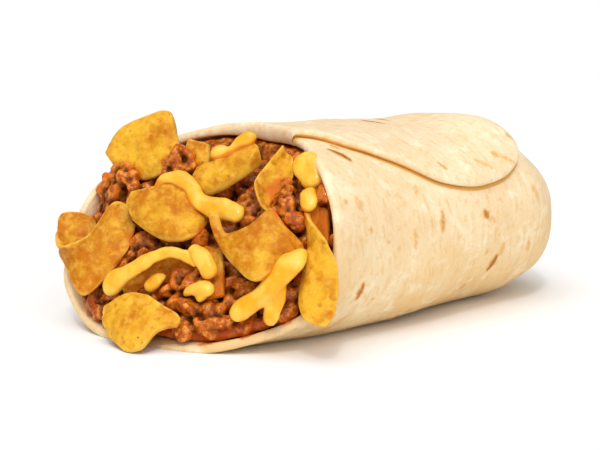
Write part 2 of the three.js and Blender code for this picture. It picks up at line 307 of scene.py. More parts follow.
def rim_x(angle):
    """Where the open rim lies along the roll, at an angle round it."""
    a = np.radians(angle)
    slant = 9.5 * np.cos(a) + 18.8 * np.sin(a)
    sag = -2.4 * np.cos(2 * a) - 3.8 * np.sin(2 * a)
    corner = 1.6 * np.cos(3 * a) - 2.6 * np.sin(3 * a)
    return RIM_X + slant + sag + corner


START_ANGLE = 60  # of the first column of the roll's grid, which follows the loose edge


def column_angle(turn, x):
    """Only the columns near the loose edge follow it; the others run straight along the roll."""
    follow = np.cos(np.pi * turn) ** 2
    return START_ANGLE - 360 * turn + (seam_angle(x) - START_ANGLE) * follow


def place_on_roll(angle_at, along, tip, beyond):
    """x, angle and shrink at shares along a column, from 0 at the closed tip to 1 beyond the rim.

    The rim's x depends on the angle, and the angle on x, so both are found in a few rounds.
    """
    reach = np.cos(np.minimum(along / DOME_SHARE, 1) * np.pi / 2)
    share = np.clip((along - DOME_SHARE) / (1 - DOME_SHARE), 0, None)
    x = DOME_X + (tip - DOME_X) * reach
    angle = angle_at(x)
    shrink = (1 - reach**DOME_POWER) ** (1 / DOME_POWER)
    on_roll = along >= DOME_SHARE
    for _ in range(8):
        x = np.where(on_roll, mix(DOME_X, rim_x(angle) - beyond, share), x)
        angle = angle_at(x)
    return x, angle, np.where(on_roll, 1, shrink)


# The slanted plane across the open rim: right and up as seen from outside, then out of the plane.
UP_THE_RIM = np.array([0.549, 0.139, 0.824])
FACE_OUT = unit(np.array([-0.799, -0.202, 0.566]))
FACE_RIGHT = unit(np.cross(UP_THE_RIM, FACE_OUT))
FACE_UP = np.cross(FACE_OUT, FACE_RIGHT)
FACE_CENTRE = np.array([RIM_X, 0, 26])


def face(points):
    """Places of points given as right, up and out of the open face."""
    points = np.asarray(points, float)
    return FACE_CENTRE + points @ np.array([FACE_RIGHT, FACE_UP, FACE_OUT])


# ------------------------ materials
def colour(red, green, blue):
    """A shader colour from the 0 to 255 values of a screen."""
    screen = np.array([red, green, blue]) / 255
    light = np.where(screen <= 0.04045, screen / 12.92, ((screen + 0.055) / 1.055) ** 2.4)
    return (*light, 1)


class Look:
    """A material: a Principled shader and the nodes that feed it."""

    def __init__(self, name, **sockets):
        self.material = bpy.data.materials.new(name)
        self.material.use_nodes = True
        self.tree = self.material.node_tree
        self.place = self.tree.nodes.new("ShaderNodeTexCoord").outputs["Object"]
        self.shade(**sockets)

    def shade(self, **sockets):
        """Feeds the shader's sockets, named with _ for a space, and hands the material over."""
        shader = self.tree.nodes["Principled BSDF"]
        for socket, value in sockets.items():
            self.feed(shader.inputs[socket.replace("_", " ")], value)
        return self.material

    def feed(self, socket, value):
        if isinstance(value, bpy.types.NodeSocket):
            self.tree.links.new(value, socket)
        else:
            socket.default_value = value

    def node(self, kind, result, inputs, **settings):
        node = self.tree.nodes.new(kind)
        for setting, value in settings.items():
            setattr(node, setting, value)
        for socket, value in inputs.items():
            self.feed(node.inputs[socket], value)
        return node.outputs[result]

    def stretched(self, x, y, z):
        """The place of the shaded point, for a noise drawn out along the axes below 1."""
        return self.node("ShaderNodeMapping", "Vector", {"Vector": self.place, "Scale": (x, y, z)})

    def across(self, axis):
        """A coordinate of the shaded point, in metres."""
        return self.node("ShaderNodeSeparateXYZ", axis, {"Vector": self.place})

    def noise(self, size, detail=2, roughness=0.5, place=None):
        inputs = {"Vector": place or self.place, "Scale": 1 / (size * MM), "Detail": detail}
        inputs["Roughness"] = roughness
        return self.node("ShaderNodeTexNoise", "Fac", inputs)

    def cells(self, size):
        inputs = {"Vector": self.place, "Scale": 1 / (size * MM)}
        return self.node("ShaderNodeTexVoronoi", "Distance", inputs)

    def field(self, name):
        return self.node("ShaderNodeAttribute", "Fac", {}, attribute_name=name)

    def ramp(self, value, low, high, start=0.0, end=1.0):
        """Start where the value is low, end where it is high, and smooth between them."""
        inputs = {"Value": value, "From Min": low, "From Max": high, "To Min": start, "To Max": end}
        return self.node("ShaderNodeMapRange", "Result", inputs, interpolation_type="SMOOTHSTEP")

    def maths(self, operation, one, other):
        return self.node("ShaderNodeMath", 0, {0: one, 1: other}, operation=operation)

    def add(self, one, other):
        return self.maths("ADD", one, other)

    def times(self, one, other):
        return self.maths("MULTIPLY", one, other)

    def blend(self, share, one, other):
        return self.node("ShaderNodeMix", 2, {0: share, 6: one, 7: other}, data_type="RGBA")

    def uneven(self, value, noise, amount):
        """The value, higher and lower by up to half the amount."""
        return self.add(value, self.times(self.add(noise, -0.5), amount))

    def painted(self, base, *paints):
        """The base colour under paints: a value, where it is low and high, the most cover, a colour."""
        for value, low, high, most, paint in paints:
            base = self.blend(self.ramp(value, low, high, 0, most), base, colour(*paint))
        return base

    def surface(self, base, patches, smooth, rough, height, depth):
        """Feeds the shader a colour, a roughness that follows the patches, and relief in mm."""
        roughness = self.ramp(patches, 0.3, 0.7, smooth, rough)
        relief = self.node("ShaderNodeBump", "Normal", {"Height": height, "Distance": depth * MM})
        return self.shade(Base_Color=base, Roughness=roughness, Normal=relief)


# ------------------------ tortilla
# The section of the loose edge: mm past it, and mm above the layer under it.
LIP = [
    (-4.5, 2.3), (-3.2, 2.3), (-1.9, 2.25), (-0.9, 2.1), (-0.3, 1.75), (0, 1.15), (-0.1, 0.65),
    (-0.35, 0.36), (-0.7, 0.18), (-1, 0.05), (-0.9, 0), (-0.5, 0), (0.1, 0), (0.8, 0), (1.5, 0),
]
LIP_START, LIP_END = -4.5, 1.5  # mm past the edge, where the lip's columns begin and end
LIP_COLUMNS = 34
MAIN_COLUMNS = 290
DOME_ROWS, MAIN_ROWS, INNER_ROWS = 74, 150, 46  # on the closed end, the roll and the sheet's inside
RIM_ROWS = 11  # round the sheet's cut edge
MM_PER_DEGREE = 0.58  # round the roll, on its near side
FLAP_ROUNDING = 1.3  # length of the rounded end of the loose layer
WOUND_TURN = 0.8  # share of the way round over which the winding rises by one sheet
STEP_START, STEP_END = 0.88, 0.9785  # where the sheet's inside steps in again, as such shares
HIDDEN_MARKS = 90
MARK_REACH = 12  # no mark is seen further than this from its middle

# Toasted marks: from x and angle to x and angle, half width in mm, how dark from 0 to 1.
MARKS = [
    (27.2, 92, 27.6, 86, 1.3, 0.9), (-8.5, 64, -6.9, 53, 1.1, 1), (-5.3, 69, -4.7, 65, 0.9, 0.7),
    (-18.7, 24.8, -18.5, 24, 0.9, 0.55), (-14.4, 25.3, -13.9, 19.3, 1.3, 0.4),
    (10.5, 31, 9.5, 26, 0.9, 0.45), (16.5, 12.3, 15.8, 3.3, 0.9, 0.6),
    (21.4, 42.5, 22.5, 37.6, 0.7, 0.6), (-11.5, 9, -11.7, 7, 0.7, 0.5), (-13.9, 7, -13.7, 6, 0.8, 0.35),
    (-5.3, 2, -5.2, 1.6, 0.7, 0.55), (-1.2, 0, -1, -0.5, 0.6, 0.5), (5.2, 5, 5.4, -1, 0.9, 0.4),
    (-14.2, -13.9, -15.1, -22, 0.9, 0.9), (-8.8, -24, -8.7, -25, 0.7, 0.5),
    (32.9, 9.3, 33.8, 6.5, 1.1, 0.8), (33.8, 6.5, 36.7, 4.1, 0.8, 0.4),
    (39.1, -13, 37.5, -21.8, 1.2, 0.95), (41.2, -5.9, 40.7, -12.2, 0.9, 0.45),
    (34.3, -7.5, 34.1, -9.7, 0.8, 0.5), (52.5, -7.5, 53.3, -13.4, 0.9, 0.5),
    (54.8, 21, 56.6, 12.8, 0.9, 0.55), (48.7, 12.3, 48.9, 11, 0.9, 0.3), (52.6, 1.2, 52.8, 0, 0.9, 0.3),
    (38.5, -1, 38.6, -2, 0.9, 0.3), (56.1, 81, 57, 78, 1.2, 0.35), (52.6, 54, 52.8, 51, 0.9, 0.6),
    (42.5, 43.5, 43.3, 41.6, 1, 0.6), (34.5, 41, 38.5, 34, 0.8, 0.45), (43.5, 42, 48, 36, 0.8, 0.45),
]


def flap_share(x, angle):
    """1 where the loose outer layer lies, with a rounded edge across the roll at its end."""
    wave = 0.7 * np.sin(np.radians(3 * angle + 40)) + 0.3 * np.sin(np.radians(11 * angle))
    past = np.clip((x - FLAP_END - wave) / FLAP_ROUNDING + 1, 0, 1)
    return np.sqrt(1 - past**2)


def hidden_marks(rng):
    """Marks of the same kinds on the top, the back and the underside."""
    marks = []
    for _ in range(HIDDEN_MARKS):
        x, angle = rng.uniform(-25, 72), rng.uniform(95, 330)
        tilt, length = rng.uniform(-0.5, 0.5), rng.gamma(2, 2.2)
        width, dark = rng.uniform(0.6, 1.2), rng.beta(2, 2.5)
        marks.append((x, angle, x + length * tilt, angle - length / MM_PER_DEGREE, width, dark))
    return marks


def mark_field(points, marks):
    """How toasted each point is: the darkest of the marks that reach it."""
    toast = np.zeros(len(points))
    for x0, a0, x1, a1, width, dark in marks:
        ends = [section_point(x, a, dent(x, a), dome_shrink(x)) for x, a in ((x0, a0), (x1, a1))]
        start, line = ends[0], ends[1] - ends[0]
        near = np.flatnonzero(norm(points - (start + ends[1]) / 2) < MARK_REACH)
        offset = points[near] - start
        share = np.clip(offset @ line / max(line @ line, 1e-6), 0, 1)
        distance = norm(offset - share[:, None] * line)
        swell = 1 - 0.45 * np.abs(2 * share - 1)
        depth = dark * falloff(distance, width * swell * 1.5)
        toast[near] = np.maximum(toast[near], depth)
    return toast


def dome_shrink(x):
    """How much of the section is left at x: 1 on the roll and 0 at the closed tip."""
    reach = np.clip((x - DOME_X) / DOME, 0, 1)
    return (1 - reach**DOME_POWER) ** (1 / DOME_POWER)


def tortilla_rows():
    """Share along the column, depth in the sheet and mm short of the rim, row by row.

    The depth is 0 on the sheet's outside and 1 on its inside.
    """
    dome = np.linspace(0, 1, DOME_ROWS)[1:-1] * DOME_SHARE
    main = np.linspace(DOME_SHARE, 1, MAIN_ROWS)
    outer = np.concatenate([dome, main])
    around = np.linspace(0, np.pi, RIM_ROWS)[1:-1]
    inner = np.linspace(1, 0, INNER_ROWS)[1:-1]
    along = np.concatenate([outer, 1 + 0 * around, inner])
    depth = np.concatenate([0 * outer, (1 - np.cos(around)) / 2, 1 + 0 * inner])
    short = SHEET / 2 * np.concatenate([1 + 0 * outer, 1 - np.sin(around), 1 + 0 * inner])
    return along, depth, short


def sheet_depths(turn, step_end, x, angle):
    """How deep the sheet's outer and inner face lie in the roll."""
    layer = SHEET * flap_share(x, angle)
    flap = layer * smoothstep(turn, 0, WOUND_TURN)
    under = layer * smoothstep(turn, STEP_START, step_end)
    return dent(x, angle) - flap, dent(x, angle) + SHEET + under - flap


def lip_angle(past, even, x):
    """The angle past mm beyond the loose edge, or even mm where there is no loose layer."""
    shift = mix(even, past, flap_share(x, seam_angle(x)))
    return seam_angle(x) - shift / MM_PER_DEGREE


def lip_depths(height, x, angle):
    """The same as sheet_depths, height mm above the layer under the loose edge."""
    return dent(x, angle) - height * flap_share(x, angle), dent(x, angle) + SHEET


def roll_columns():
    """Each column's angle and depths, and how much it lies in the shade of the loose edge."""
    reach = 360 * MM_PER_DEGREE
    columns = []
    for turn in np.linspace(LIP_END / reach, 1 + LIP_START / reach, MAIN_COLUMNS):
        columns.append((partial(column_angle, turn), partial(sheet_depths, turn, STEP_END), 0))
    shares = np.arange(1, LIP_COLUMNS + 1) / (LIP_COLUMNS + 1)
    lip = curve_points(np.pad(LIP, ((0, 0), (0, 1))), np.linspace(0, 1, LIP_COLUMNS + 2)[1:-1])
    for (past, height, _), even in zip(lip, mix(LIP_START, LIP_END, shares)):
        shade = falloff(height - 0.3, 0.6)
        columns.append((partial(lip_angle, past, even), partial(lip_depths, height), shade))
    return columns


def rim_stain(points, along, depth):
    """How much sauce has soaked into the sheet near the filling, from 0 to 1."""
    stain = np.zeros(points.shape[:2])
    by_filling = (along > 0.9) & (depth > 0.3)
    near = distances(points[:, by_filling].reshape(-1, 3), CAD_CHILI)
    stain[:, by_filling] = falloff(near, 1.1).reshape(len(points), -1)
    return stain


def tortilla_grid():
    """The sheet's points, column by column, and the fields that its material reads."""
    along, depth, short = tortilla_rows()
    tip = END_X - depth * END_WALL
    count = np.arange(MAIN_COLUMNS + LIP_COLUMNS)
    rim_wave = 0.45 * np.sin(count / 9) * np.sin(count / 23)
    columns = []
    for (angle_at, depths, shade), wave in zip(roll_columns(), rim_wave):
        x, angle, shrink = place_on_roll(angle_at, along, tip, wave - short)
        outer, inner = depths(x, angle)
        layer = flap_share(x, angle)
        above = angle_between(angle, seam_angle(x))
        loose = layer * smoothstep(above, -0.5, 1.5) * (1 - smoothstep(above, 110, 170))
        # painted shade: the crevice under the loose edge, where the lip's low columns lie
        crevice_shade = shade * layer * (depth < 0.5)
        columns.append((x, angle, mix(outer, inner, depth), shrink, crevice_shade, loose))
    x, angle, inside, shrink, crevice_shade, loose = np.stack(columns).transpose(1, 0, 2)
    bare = section_point(x, angle, inside, shrink).reshape(-1, 3)
    skin = section_point(x, angle, dent(x, angle), shrink).reshape(-1, 3)
    toast = mark_field(skin, MARKS + hidden_marks(np.random.default_rng(5)))
    lift = 0.45 * noise(bare, 19, 1) + 0.22 * noise(bare, 8, 2) + 0.25 * toast
    points = section_point(x, angle, inside - lift.reshape(x.shape) * shrink**2, shrink)
    floor = np.where(depth > 0.99, SHEET, 0)
    points[..., 2] = np.maximum(points[..., 2], floor)
    stain = rim_stain(points, along, depth)
    return points, {"toast": toast, "crevice_shade": crevice_shade, "stain": stain, "loose": loose}


def tortilla_look():
    look = Look(
        "tortilla", Specular_IOR_Level=0.12, Subsurface_Weight=0.2, Subsurface_Scale=0.004,
        Subsurface_Radius=(1, 0.6, 0.3),
    )
    broad = look.noise(22, 2)
    patchy = look.noise(5, 4, 0.6)
    mottle = look.noise(2.2, 4, 0.7)
    streaks = look.noise(1.6, 3, 0.6, place=look.stretched(1, 0.25, 0.25))
    # low is high near the table: it marks where shade is painted on the lower part of the roll
    low = look.add(look.times(look.across("Z"), -60), look.add(broad, 0.3))
    toast = look.uneven(look.field("toast"), look.noise(0.9, 3, 0.65), 0.7)
    stain = look.uneven(look.field("stain"), look.noise(1.8, 3), 0.9)
    cream = look.painted(
        colour(244, 218, 175),
        (broad, 0.35, 0.65, 1, (240, 205, 151)),
        # painted shade, darker and more yellow on the lower part of the roll; then painted light, paler
        # higher up
        (low, 0, 0.9, 0.8, (226, 186, 124)),
        (look.across("Z"), 0.015, 0.036, 0.45, (244, 221, 189)),
    )
    cream = look.blend(look.times(look.field("loose"), 0.15), cream, colour(242, 219, 190))
    sauced = look.painted(
        cream,
        (patchy, 0.48, 0.72, 0.6, (253, 238, 210)),
        (mottle, 0.48, 0.72, 0.6, (233, 190, 126)),
        (streaks, 0.5, 0.75, 0.5, (228, 180, 112)),
        (toast, 0.1, 0.5, 1, (231, 182, 118)),
        (toast, 0.45, 0.8, 1, (192, 124, 62)),
        (toast, 0.8, 1.1, 1, (140, 80, 36)),
        # painted shade, a golden brown line in the crevice under the loose edge
        (look.field("crevice_shade"), 0.1, 0.8, 0.8, (226, 170, 66)),
        (stain, 0.35, 0.8, 0.85, (206, 96, 16)),
    )
    coarse = look.add(look.times(mottle, 0.7), look.times(streaks, 0.5))
    height = look.add(look.times(look.noise(0.7, 3, 0.7), 0.3), coarse)
    return look.surface(sauced, patchy, 0.5, 0.68, height, 0.4)


def make_tortilla():
    grid, fields = tortilla_grid()
    mesh = mesh_of("tortilla_skin", *closed_lathe(grid))
    set_fields(mesh, {name: np.append(values.ravel(), (0, 0)) for name, values in fields.items()})
    make_piece("tortilla_skin", "tortilla", mesh, tortilla_look())


# ------------------------ corn chips
# Each chip is a curved sheet through a row of ribs. First come its bow, how far the sheet bends
# outwards between a rib's ends, and how deeply it is baked, from pale yellow at 0 to orange brown
# at 1. Then comes each rib: right, up, out of its upper end, and right, up, out of its lower end.
CHIPS = {
    "chip_above_rim": (1.5, 0.25, [
        (-38, 21, 4, -35, 16, 3), (-34.5, 26, 5.5, -27, 12.5, 3), (-28, 29.5, 6.5, -20, 13.5, 3),
        (-20, 31.5, 7, -15, 17, 3), (-17, 27.5, 5.5, -13, 19, 3),
    ]),
    "chip_behind": (0.5, 0.8, [(-15.5, 26.5, 1.5, -13, 17, 1), (-8, 25.5, 1, -5.5, 18, 1)]),
    "chip_upper": (2.5, 0.5, [
        (-9, 17, 3, -2, 9, 3), (0, 21, 4, 2, 12, 3), (5, 24, 4, 7, 16, 3), (7, 26, 3, 11, 21, 2),
    ]),
    "chip_leaf": (2, 0.5, [
        (14, 28, 1, 17, 25, 0), (13, 20, 4, 20, 19, 1), (12, 14, 5, 20, 14, 2), (15, 9, 5, 19, 10, 3),
        (17, 7, 4, 19, 8, 4),
    ]),
    "chip_middle": (1, 0.6, [
        (-25, 8, 5, -21, 0, 5), (-18, 9, 7, -12, -4, 6), (-12, 11, 7, -4, -5, 6), (-7, 12, 5, 0, -2, 4),
        (-5, 8, 2, 0, 2, 2),
    ]),
    "chip_left": (1, 0.95, [
        (-24, 5, 2, -20, -5, 2), (-28, 5, 6, -22, -15, 4), (-30, -7, 9, -28, -22, 4),
        (-37, -11, 9, -35, -16, 5), (-42, -7, 6, -41, -11, 4), (-44, -0.5, 5, -38.5, -10.5, 4.5),
        (-38.5, 1, 3, -35.5, -10, 4.5), (-35, 0, 0.5, -32, -7, 1.5),
    ]),
    "chip_right": (1.5, 0.95, [
        (6, 4, 8, 4, 3, 7), (10, -1, 6, 8, -4, 5), (17, 2, 7, 16, -10, 6), (20, 7, 6, 23, -13, 6),
        (25, 3, 4, 27, -7, 4), (30, 0, 1, 29, -3, 1),
    ]),
    "chip_curled": (1, 0.35, [
        (41, -4, 1, 44, -16, 0), (37, 1, 4, 42, -20, 0), (31, 6, 4, 35, -18, 0),
        (28, 11, 2, 31, -4, -1), (29, 14.5, 0, 32, 0, -3), (32, 12.5, -1, 35.5, -1, -3),
    ]),
    "chip_below_rim": (0.5, 0.3, [
        (-21, -25, 4, -16, -32, 5), (-13, -20.5, 6, -7, -36, 7), (-8, -20, 6, -2.5, -35, 7),
        (-2, -22, 5.5, 0, -29, 6), (4.5, -24, 5, 5, -27, 5),
    ]),
    "chip_hollow": (-1.5, 1, [
        (-22, -14, 2, -18, -21, 0), (-15, -10, 4, -14, -18, -2), (-6, -6, 5, -6, -15, -4),
        (2, -7, 4, 3, -13, -2),
    ]),
    "chip_under_strand": (0.5, 1, [(1, -3, 1, 6, -18, 1), (7, -4, 1, 12, -16, 1)]),
}
CHIP_ACROSS, CHIP_DOWN = 96, 64  # grid points along the row of ribs and along a rib


def chip_middle(ribs, u, v):
    """Points of the chip's middle surface, carried straight on beyond its ends."""
    inner = np.clip(u, 0, 1)
    towards = np.where(u < 0, 0.05, -0.05)
    edges = []
    for rail in (ribs[:, 0], ribs[:, 1]):
        point = curve_points(rail, inner)
        step = point - curve_points(rail, inner + towards)
        edges.append(point + step * (np.abs(u - inner) / 0.05)[:, None])
    return mix(edges[0], edges[1], v[:, None])


def chip_grid(seed):
    """Shares from -1 to 1 across and down a chip: on a square, and with its ragged, rounded outline."""
    shares = [np.sin(np.linspace(-1, 1, count) * np.pi / 2) for count in (CHIP_ACROSS, CHIP_DOWN)]
    s, t = np.meshgrid(*shares, indexing="ij")
    s, t = s.ravel(), t.ravel()
    outline = np.stack([s, t, 0 * s], axis=1)
    wave = 0.03 * noise(outline, 0.5, seed) + 0.025 * noise(outline, 0.2, seed + 9)
    ragged = 1 + wave * np.maximum(np.abs(s), np.abs(t)) ** 4
    a = s * np.sqrt(1 - CORNERS * t**2) * ragged
    b = t * np.sqrt(1 - CORNERS * s**2) * ragged
    return s, t, a, b


def chip_faces():
    """Faces of a grid's front and back, which share its border; then that border and what lies inside.

    The quad at each corner is cut from the corner inwards. Cut the other way, its front and its back
    would have a triangle in common.
    """
    index = np.arange(CHIP_ACROSS * CHIP_DOWN).reshape(CHIP_ACROSS, CHIP_DOWN)
    border = np.concatenate([index[0], index[1:, -1], index[-1, -2::-1], index[-2:0:-1, 0]])
    inside = np.ones(index.size, bool)
    inside[border] = False
    back_number = index.ravel().copy()
    back_number[inside] = index.size + np.arange(inside.sum())
    corners = {int(index[i, j]) for i in (0, -1) for j in (0, -1)}
    quads = []
    for quad in grid_faces(CHIP_ACROSS, CHIP_DOWN, closed=False):
        own = [k for k in range(4) if quad[k] in corners]
        if own:
            p, q, r, s = quad[own[0]:] + quad[:own[0]]
            quads += [(p, q, r), (p, r, s)]
        else:
            quads.append(quad)
    faces = [quad[::-1] for quad in quads]
    faces += [tuple(int(back_number[k]) for k in quad) for quad in quads]
    return faces, border, inside


CHIP_FACES, CHIP_BORDER, CHIP_INSIDE = chip_faces()


def make_chip(name, bow, deep, ribs, seed, look):
    ribs = face(np.reshape(ribs, (-1, 2, 3)))
    s, t, a, b = chip_grid(seed)
    u, v = (1 + a) / 2, (1 - b) / 2
    middle = chip_middle(ribs, u, v)
    down_way = chip_middle(ribs, u, 0 * v + 1) - chip_middle(ribs, u, 0 * v)
    half = np.full(len(u), 0.5)
    along_way = chip_middle(ribs, u + 0.02, half) - chip_middle(ribs, u - 0.02, half)
    normal = unit(np.cross(down_way, along_way))
    from_ends = (1 - np.abs(s)) * norm(ribs[0, 0] - ribs[-1, 0]) / 2
    edge = np.minimum(from_ends, (1 - np.abs(t)) * norm(down_way) / 2)
    warp = bow * (1 - b * b) + 0.3 * np.sin(5 * a + 2 * b) * np.cos(3 * b)
    warp = warp + 0.4 * noise(middle, 9, seed + 20)
    rounding = np.clip(1 - edge / (0.5 * CHIP), 0, 1)
    half_thick = 0.42 * CHIP * (1 - rounding**3) ** (1 / 3) * (1 + 0.2 * noise(middle, 4, seed + 40))
    grain = 0.32 * noise(middle, 2.1, seed + 3) + 0.22 * noise(middle, 1, seed + 4)
    sides = []
    for side in (1, -1):
        blister = smoothstep(noise(middle, 4.5, seed + 60 * side), 0, 0.5)
        relief = (0.55 * blister + grain) * np.clip(edge / 1.2, 0, 1)
        sides.append(middle + normal * (warp + side * (half_thick + relief))[:, None])
    front, back = sides
    front[CHIP_BORDER] = (front[CHIP_BORDER] + back[CHIP_BORDER]) / 2
    mesh = mesh_of(name + "_baked", np.vstack([front, back[CHIP_INSIDE]]), CHIP_FACES)
    face_outwards(mesh)
    # rim is 1 at the edge: the material paints the edge paler, partly the chip's own paler edge and
    # partly a painted highlight
    rim = np.clip(1 - edge / 2.2, 0, 1)
    # hollow is where the chip's surface dips: the material paints shade there
    hollow = np.clip(-2.5 * grain, 0, 1)
    near = distances(points_of(mesh), CAD_CHILI)
    set_fields(mesh, {
        "rim": np.concatenate([rim, rim[CHIP_INSIDE]]),
        "hollow": np.concatenate([hollow, hollow[CHIP_INSIDE]]),
        "stain": falloff(near, 2.2),
        "deep": np.full(len(near), deep),
    })
    make_piece(name + "_baked", name, mesh, look)


def face_outwards(mesh):
    """Turns the faces of a closed mesh to point outwards."""
    mesh.calc_loop_triangles()
    corners = np.empty(3 * len(mesh.loop_triangles), int)
    mesh.loop_triangles.foreach_get("vertices", corners)
    p = points_of(mesh)[corners.reshape(-1, 3)]
    volume = np.einsum("ij,ij->i", p[:, 0], np.cross(p[:, 1], p[:, 2])).sum()
    if volume < 0:
        mesh.flip_normals()
        mesh.update()


def chip_look():
    look = Look(
        "corn_chip", Specular_IOR_Level=0.14, Subsurface_Weight=0.1, Subsurface_Scale=0.002,
        Subsurface_Radius=(1, 0.5, 0.15),
    )
    broad = look.noise(7, 3, 0.55)
    patchy = look.noise(2.2, 4, 0.6)
    grain = look.noise(0.5, 3, 0.7)
    tone = look.uneven(look.field("deep"), broad, 3)
    stained = look.painted(
        colour(234, 176, 42),
        (tone, 0, 1.2, 1, (194, 112, 0)),
        (patchy, 0.42, 0.74, 0.5, (247, 198, 78)),
        (look.noise(3.6, 2, 0.5), 0.5, 0.78, 0.35, (188, 94, 0)),
        (grain, 0.46, 0.76, 0.45, (176, 92, 0)),
        # painted shade, darker orange in the dips of the chip's surface
        (look.field("hollow"), 0.15, 0.8, 0.5, (170, 80, 0)),
        # paler along the edges: partly the chip's own colour, partly a painted highlight
        (look.uneven(look.field("rim"), patchy, 0.9), 0.5, 1.1, 0.65, (244, 194, 82)),
        (look.uneven(look.field("stain"), patchy, 0.8), 0.2, 0.7, 0.85, (208, 104, 18)),
    )
    specks = look.ramp(look.cells(6.5), 0.03, 0.055, 1, 0)
    speckled = look.blend(look.times(specks, 0.75), stained, colour(110, 60, 14))
    height = look.add(look.times(grain, 0.5), look.times(patchy, 0.5))
    return look.surface(speckled, patchy, 0.34, 0.52, height, 0.35)


# ------------------------ cheese sauce
# Each strand is a tube through its points: right, up, out, radius.
CHEESE = {
    "cheese_wave": [[
        (-16, 7.5, 7.5, 0.7), (-13.5, 11, 8, 1.4), (-9.5, 12, 8, 1.9), (-5.5, 10.5, 7, 2),
        (-2, 7, 6, 2.3), (2.5, 6, 5, 2.6), (8, 5.5, 5, 2.4), (12, 4.5, 5, 2.2),
    ]],
    "cheese_arch": [[
        (-21, -21, 5, 2), (-18.5, -18, 6, 3), (-15.5, -16, 7, 2.5), (-11.5, -13, 7.5, 2),
        (-7.5, -10, 7.5, 1.5), (-3.5, -8.5, 7.5, 1.5), (1.5, -9, 7, 1.5), (4.5, -11, 6, 1),
    ]],
    "cheese_short": [[(1, -6.5, 7, 1.5), (4.5, -8, 7, 2.1), (7, -10, 6, 2.3), (8.8, -13, 5, 2.1)]],
    "cheese_drop": [[(-9.5, -18.5, 4, 1.5), (-8.5, -16.5, 4, 2), (-7, -14.5, 4, 1.5), (-6, -13, 3, 1)]],
    "cheese_dab": [
        [(1, -17.5, 3, 1), (4, -16.5, 4, 1.5), (7.5, -16, 4.5, 1.9), (10.5, -16, 4, 1.4)],
        [(6, -16.5, 4.2, 1.6), (8.5, -18.5, 4, 1.5)],
    ],
    "cheese_fork": [
        [
            (31, -2, 3, 1.5), (31, -5, 5, 2.5), (29, -9, 5.5, 3), (26.5, -12.5, 4.5, 3),
            (23, -16, 3, 2.5), (19.5, -19, 2.5, 2.5), (16.5, -21.5, 2, 2),
        ],
        [(28.5, -11.5, 4.5, 1.8), (28, -15.5, 2.5, 1.7), (27, -19, 1.5, 1.8), (26.5, -21.5, 0.5, 1.5)],
    ],
    "cheese_top": [[
        (-4, 20.5, 4.5, 1.6), (-1.5, 21.5, 5, 2.2), (1.5, 22, 5, 1.5), (3.8, 24.3, 5.2, 1.9),
        (6, 25.5, 5.3, 2.3), (8, 25, 5, 1.8),
    ]],
    "cheese_corner": [
        [(21.6, 24.6, 2, 3), (23.2, 21.8, 2.4, 3.3), (25.3, 19, 2.3, 3), (27.8, 15.6, 1.6, 2.1)],
        [(26, 11, 3.5, 1.7), (28, 12.5, 3.5, 2.1), (29.5, 13.2, 2.6, 1.8)],
        [(28, 12, 3.5, 1.9), (29, 10, 3.8, 1.9), (28.8, 7.8, 3.8, 1.5)],
    ],
}
CHEESE_VOXEL = 0.3
STRAND_FLATNESS = 0.7  # height of a thin strand for its width
STRAND_HEIGHT = 3.2  # of the wide ones


def strand_shell(stations):
    """A tube along a strand, with round ends, an uneven width and a flatter section."""
    stations = np.array(stations, float)
    rings, around = 12 * len(stations), 20
    t = (1 - np.cos(np.linspace(0, np.pi, rings))) / 2
    path = face(stations[:, :3])
    centre = curve_points(path, t)
    along = unit(curve_points(path, t + 0.01) - curve_points(path, t - 0.01))
    side = unit(np.cross(along, FACE_OUT))
    over = np.cross(side, along)
    round_end = np.sqrt(np.maximum(0.0004, 1 - np.abs(2 * t - 1) ** (2 * len(stations))))
    radius = curve_points(np.pad(stations[:, 3:], ((0, 0), (0, 2))), t)[:, 0] * round_end
    angle = np.linspace(0, 2 * np.pi, around, endpoint=False)
    wide = 1.15 + 0.25 * noise(centre, 4.5, 13)
    sideways = side[:, None] * (wide[:, None] * np.cos(angle))[..., None]
    height = np.minimum(STRAND_FLATNESS * radius, STRAND_HEIGHT / 2 * round_end)
    outwards = over[:, None] * (height[:, None] * np.sin(angle))[..., None]
    points = centre[:, None] + radius[:, None, None] * sideways + outwards
    faces = grid_faces(rings, around, closed=False)
    for here in range(0, (rings - 1) * around, around):
        faces.append((here + around - 1, here, here + around, here + 2 * around - 1))
    faces.append(tuple(range(around)))
    faces.append(tuple(reversed(range((rings - 1) * around, rings * around))))
    return points.reshape(-1, 3), faces


def make_cheese(name, strands, look):
    mesh = remeshed([strand_shell(strand) for strand in strands], CHEESE_VOXEL)
    where = smoothed(mesh, points_of(mesh), 8)
    put_points(mesh, where)
    lift = 0.35 * noise(where, 4, 7) + 0.14 * noise(where, 1.8, 8)
    put_points(mesh, where + normals_of(mesh) * lift[:, None])
    # painted shade: the cheese is painted deeper orange where it lies against the chili and the chips
    near = np.minimum(distances(where, CAD_CHILI), distances(where, CAD_CHIPS))
    set_fields(mesh, {"contact_shade": falloff(near, 0.9)})
    make_piece(name + "_melted", name, mesh, look)


def cheese_look():
    look = Look(
        "cheese_sauce", Specular_IOR_Level=0.2, Coat_Weight=0.35, Coat_Roughness=0.16,
        Subsurface_Weight=0.2, Subsurface_Scale=0.002, Subsurface_Radius=(1, 0.6, 0.12),
    )
    fine = look.noise(1.2, 2)
    base = look.painted(
        colour(248, 195, 72),
        (look.noise(5, 2), 0.35, 0.65, 1, (240, 168, 28)),
        # painted shade, deeper orange where the cheese touches the chili and the chips
        (look.field("contact_shade"), 0.05, 0.7, 0.9, (222, 124, 0)),
    )
    return look.surface(base, fine, 0.25, 0.38, fine, 0.06)


